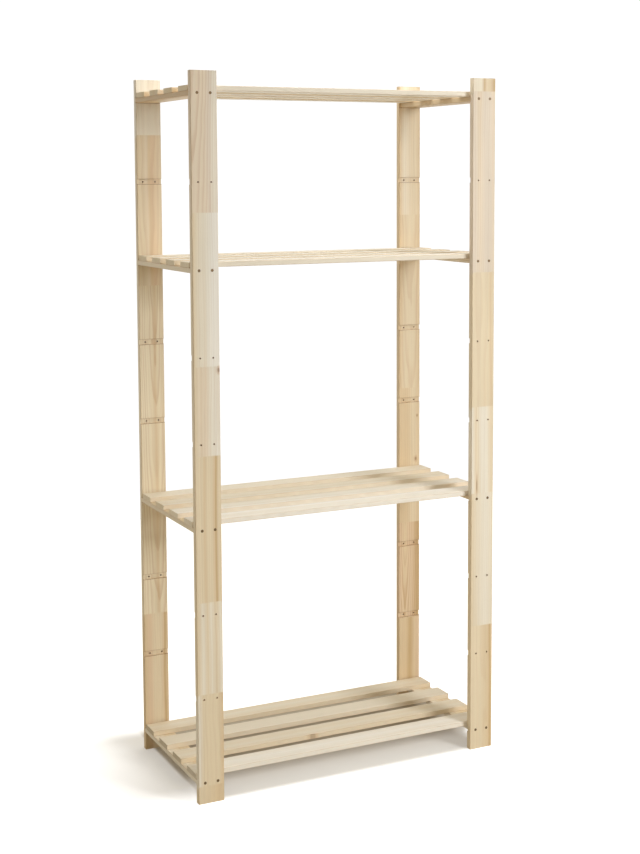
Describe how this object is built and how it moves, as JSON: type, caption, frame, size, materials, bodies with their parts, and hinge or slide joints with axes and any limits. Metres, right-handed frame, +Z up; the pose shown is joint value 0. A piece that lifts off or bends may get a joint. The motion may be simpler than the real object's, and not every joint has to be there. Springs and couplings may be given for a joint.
{
  "type": "shelving unit",
  "caption": "Free-standing pine shelving unit: flat drilled posts with housing grooves carry slatted shelves on screwed cross bearers.",
  "frame": {"origin": "on the floor under the middle of the unit", "axes": "+Z up along the posts, +X to the right along the slats, +Y to the back"},
  "size_m": [0.805, 0.389, 1.7],
  "materials": {
    "post_pine": "unfinished finger-jointed pine, planed",
    "bearer_pine": "unfinished pine, planed",
    "slat_pine": "unfinished pine, planed",
    "screw_steel": "dark passivated steel",
    "staple_wire": "galvanised wire"
  },
  "bodies": {
    "root": {"front_left_post": "post_pine", "front_right_post": "post_pine", "rear_left_post": "post_pine", "rear_right_post": "post_pine", "bottom_shelf_left_bearer": "bearer_pine", "bottom_shelf_right_bearer": "bearer_pine", "bottom_shelf_slat_1": "slat_pine", "bottom_shelf_slat_2": "slat_pine", "bottom_shelf_slat_3": "slat_pine", "bottom_shelf_slat_4": "slat_pine", "bottom_shelf_front_screws": "screw_steel", "bottom_shelf_rear_screws": "screw_steel", "bottom_shelf_staples": "staple_wire", "lower_shelf_left_bearer": "bearer_pine", "lower_shelf_right_bearer": "bearer_pine", "lower_shelf_slat_1": "slat_pine", "lower_shelf_slat_2": "slat_pine", "lower_shelf_slat_3": "slat_pine", "lower_shelf_slat_4": "slat_pine", "lower_shelf_front_screws": "screw_steel", "lower_shelf_rear_screws": "screw_steel", "lower_shelf_staples": "staple_wire", "upper_shelf_left_bearer": "bearer_pine", "upper_shelf_right_bearer": "bearer_pine", "upper_shelf_slat_1": "slat_pine", "upper_shelf_slat_2": "slat_pine", "upper_shelf_slat_3": "slat_pine", "upper_shelf_slat_4": "slat_pine", "upper_shelf_front_screws": "screw_steel", "upper_shelf_rear_screws": "screw_steel", "upper_shelf_staples": "staple_wire", "top_shelf_left_bearer": "bearer_pine", "top_shelf_right_bearer": "bearer_pine", "top_shelf_slat_1": "slat_pine", "top_shelf_slat_2": "slat_pine", "top_shelf_slat_3": "slat_pine", "top_shelf_slat_4": "slat_pine", "top_shelf_front_screws": "screw_steel", "top_shelf_rear_screws": "screw_steel", "top_shelf_staples": "staple_wire"}
  },
  "joints": []
}
